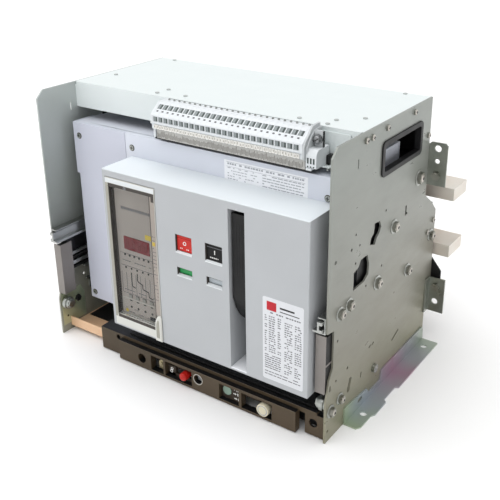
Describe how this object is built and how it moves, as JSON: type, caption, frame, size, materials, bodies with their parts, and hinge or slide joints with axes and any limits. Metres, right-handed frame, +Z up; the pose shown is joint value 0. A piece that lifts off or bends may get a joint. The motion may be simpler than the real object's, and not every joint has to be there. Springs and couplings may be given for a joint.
{
  "type": "withdrawable air circuit breaker",
  "caption": "Withdrawable low-voltage air circuit breaker in its steel cradle, with trip controller, push buttons, charging handle, racking beam, terminal block and rear busbar terminals.",
  "frame": {"origin": "centre of the bounding box at the underside of the mounting feet", "axes": "+X to the right as the operator faces the breaker, +Y to the back, +Z up"},
  "size_m": [0.612, 0.441, 0.456],
  "materials": {
    "plate_left": "satin",
    "plate_right": "satin",
    "bolt_zinc": "satin",
    "lifting_plastic": "matte",
    "cover_paint": "satin",
    "screw_zinc": "satin",
    "pan_zinc": "satin",
    "foot_zinc": "satin",
    "ear_zinc": "satin",
    "base_black": "matte",
    "terminal_tin": "satin",
    "rail_zinc": "satin",
    "slider_zinc": "satin",
    "post_bronze": "satin",
    "roller_zinc": "satin",
    "beam_brown": "satin",
    "insert_dark": "matte",
    "spindle_steel": "satin",
    "nut_brass": "satin",
    "shaft_zinc": "satin",
    "dial_green": "matte",
    "button_red": "gloss",
    "button_cream": "gloss",
    "shutter_board": "matte",
    "block_white": "satin",
    "end_grey": "satin",
    "bracket_zinc": "satin",
    "housing_lilac": "satin",
    "cover_lilac": "satin",
    "plug_grey": "matte",
    "finger_silver": "satin",
    "contact_copper": "satin",
    "chute_board": "matte",
    "shaft_steel": "satin",
    "frame_zinc": "satin",
    "spring_steel": "satin",
    "coil_black": "matte",
    "flag_green": "matte",
    "flag_white": "matte",
    "handle_black": "satin",
    "front_grey": "satin",
    "off_red": "gloss",
    "on_black": "gloss",
    "bezel_ivory": "satin",
    "face_beige": "matte",
    "clear_cover": "clear",
    "key_grey": "matte"
  },
  "bodies": {
    "cradle": {"cradle_left_plate": "plate_left", "cradle_right_plate": "plate_right", "cradle_bolts": "bolt_zinc", "lifting_frames": "lifting_plastic", "cradle_top_cover": "cover_paint", "cover_screws": "screw_zinc", "cradle_bottom_pan": "pan_zinc", "foot_angles": "foot_zinc", "mounting_ears": "ear_zinc", "rear_base": "base_black", "line_terminals": "terminal_tin", "load_terminals": "terminal_tin", "guide_channels": "rail_zinc", "front_posts": "post_bronze", "stop_rollers": "roller_zinc", "racking_beam": "beam_brown", "beam_inserts": "insert_dark", "terminal_block": "block_white", "terminal_screws": "screw_zinc", "terminal_end_parts": "end_grey", "terminal_bracket": "bracket_zinc"},
    "draw_out_rails": {"sliding_rails": "slider_zinc"},
    "breaker": {"breaker_housing": "housing_lilac", "neutral_pole_cover": "cover_lilac", "breaker_screws": "screw_zinc", "support_rollers": "roller_zinc", "secondary_plugs": "plug_grey", "finger_clusters": "finger_silver", "upper_contacts": "contact_copper", "lower_contacts": "contact_copper", "flexible_links": "contact_copper", "arc_chutes": "chute_board", "mechanism_frames": "frame_zinc", "closing_springs": "spring_steel", "release_coils": "coil_black", "front_cover": "front_grey", "controller_housing": "bezel_ivory", "controller_face": "face_beige"},
    "upper_shutter_body": {"upper_shutter": "shutter_board"},
    "lower_shutter_body": {"lower_shutter": "shutter_board"},
    "racking_screw": {"racking_spindle": "spindle_steel"},
    "racking_nut": {"drive_nut": "nut_brass"},
    "racking_levers": {"racking_shaft": "shaft_zinc"},
    "position_indicator": {"position_dial": "dial_green"},
    "lock_release": {"lock_release_button": "button_red"},
    "position_lock": {"position_lock_button": "button_cream"},
    "contact_shaft": {"main_shaft": "shaft_steel", "moving_contacts": "contact_copper"},
    "charging_drive": {"charging_shaft": "shaft_steel"},
    "contact_indicator": {"contact_flag": "flag_green"},
    "charge_indicator": {"charge_flag": "flag_white"},
    "pump_handle": {"charging_handle": "handle_black"},
    "off_push": {"off_button": "off_red"},
    "on_push": {"on_button": "on_black"},
    "clear_flap": {"controller_cover": "clear_cover"},
    "key_1": {"controller_key_1": "key_grey"},
    "key_2": {"controller_key_2": "key_grey"},
    "key_3": {"controller_key_3": "key_grey"},
    "key_4": {"controller_key_4": "key_grey"},
    "key_5": {"controller_key_5": "key_grey"}
  },
  "joints": [
    {"name": "pull_out", "type": "slide", "parent": "cradle", "child": "draw_out_rails", "axis": [0, -1, 0], "range_m": [0, 0.2]},
    {"name": "racking_travel", "type": "slide", "parent": "draw_out_rails", "child": "breaker", "axis": [0, -1, 0], "range_m": [0, 0.04]},
    {"name": "upper_shutter_drop", "type": "slide", "parent": "cradle", "child": "upper_shutter_body", "axis": [0, 0, -1], "range_m": [0, 0.0525]},
    {"name": "lower_shutter_rise", "type": "slide", "parent": "cradle", "child": "lower_shutter_body", "axis": [0, 0, 1], "range_m": [0, 0.0525]},
    {"name": "spindle_turn", "type": "hinge", "parent": "cradle", "child": "racking_screw", "pos_m": [0.044, -0.106, 0.024], "axis": [0, -1, 0], "range_deg": [0, 3605]},
    {"name": "nut_travel", "type": "slide", "parent": "cradle", "child": "racking_nut", "axis": [0, -1, 0], "range_m": [0, 0.0405]},
    {"name": "lever_turn", "type": "hinge", "parent": "cradle", "child": "racking_levers", "pos_m": [0, -0.055, 0.047], "axis": [1, 0, 0], "range_deg": [0, 50.5]},
    {"name": "dial_turn", "type": "hinge", "parent": "cradle", "child": "position_indicator", "pos_m": [0.097, -0.201, 0.021], "axis": [0, -1, 0], "range_deg": [0, 91]},
    {"name": "lock_release_push", "type": "slide", "parent": "cradle", "child": "lock_release", "axis": [0, 1, 0], "range_m": [0, 0.005], "stiffness_N_per_m": 400, "springref_m": -0.003},
    {"name": "position_lock_push", "type": "slide", "parent": "cradle", "child": "position_lock", "axis": [0, 1, 0], "range_m": [0, 0.004], "stiffness_N_per_m": 400, "springref_m": -0.003},
    {"name": "contacts_close", "type": "hinge", "parent": "breaker", "child": "contact_shaft", "pos_m": [0, -0.056, 0.17], "axis": [-1, 0, 0], "range_deg": [0, 28], "stiffness_Nm_per_rad": 3, "springref_deg": -22.92},
    {"name": "spring_charge", "type": "hinge", "parent": "breaker", "child": "charging_drive", "pos_m": [0.08, -0.118, 0.24], "axis": [1, 0, 0], "range_deg": [0, 180]},
    {"name": "contact_flag_turn", "type": "hinge", "parent": "breaker", "child": "contact_indicator", "pos_m": [0.035, -0.198, 0.2165], "axis": [1, 0, 0], "range_deg": [0, 56.5]},
    {"name": "charge_flag_turn", "type": "hinge", "parent": "breaker", "child": "charge_indicator", "pos_m": [0.091, -0.198, 0.2165], "axis": [1, 0, 0], "range_deg": [0, 60.5]},
    {"name": "pump_handle_pull", "type": "hinge", "parent": "breaker", "child": "pump_handle", "pos_m": [0.133, -0.176, 0.165], "axis": [1, 0, 0], "range_deg": [0, 80], "stiffness_Nm_per_rad": 0.5, "springref_deg": -28.65},
    {"name": "off_push_in", "type": "slide", "parent": "breaker", "child": "off_push", "axis": [0, 1, 0], "range_m": [0, 0.005], "stiffness_N_per_m": 500, "springref_m": -0.003},
    {"name": "on_push_in", "type": "slide", "parent": "breaker", "child": "on_push", "axis": [0, 1, 0], "range_m": [0, 0.005], "stiffness_N_per_m": 500, "springref_m": -0.003},
    {"name": "clear_flap_turn", "type": "hinge", "parent": "breaker", "child": "clear_flap", "pos_m": [-0.1093, -0.2195, 0.213], "axis": [0, 0, -1], "range_deg": [0, 110]},
    {"name": "key_1_press", "type": "slide", "parent": "breaker", "child": "key_1", "axis": [0, 1, 0], "range_m": [0, 0.0012], "stiffness_N_per_m": 400, "springref_m": -0.002},
    {"name": "key_2_press", "type": "slide", "parent": "breaker", "child": "key_2", "axis": [0, 1, 0], "range_m": [0, 0.0012], "stiffness_N_per_m": 400, "springref_m": -0.002},
    {"name": "key_3_press", "type": "slide", "parent": "breaker", "child": "key_3", "axis": [0, 1, 0], "range_m": [0, 0.0012], "stiffness_N_per_m": 400, "springref_m": -0.002},
    {"name": "key_4_press", "type": "slide", "parent": "breaker", "child": "key_4", "axis": [0, 1, 0], "range_m": [0, 0.0012], "stiffness_N_per_m": 400, "springref_m": -0.002},
    {"name": "key_5_press", "type": "slide", "parent": "breaker", "child": "key_5", "axis": [0, 1, 0], "range_m": [0, 0.0012], "stiffness_N_per_m": 400, "springref_m": -0.002}
  ],
  "couplings": [
    {"joint": "upper_shutter_drop", "follows": "pull_out", "ratio": 0.26},
    {"joint": "lower_shutter_rise", "follows": "pull_out", "ratio": 0.26},
    {"joint": "spindle_turn", "follows": "racking_travel", "rad_per_m": 1570.8},
    {"joint": "nut_travel", "follows": "racking_travel", "ratio": 1},
    {"joint": "lever_turn", "follows": "racking_travel", "rad_per_m": 21.817},
    {"joint": "dial_turn", "follows": "racking_travel", "rad_per_m": 39.27},
    {"joint": "contact_flag_turn", "follows": "contacts_close", "ratio": 2},
    {"joint": "charge_flag_turn", "follows": "spring_charge", "ratio": 0.33333}
  ]
}
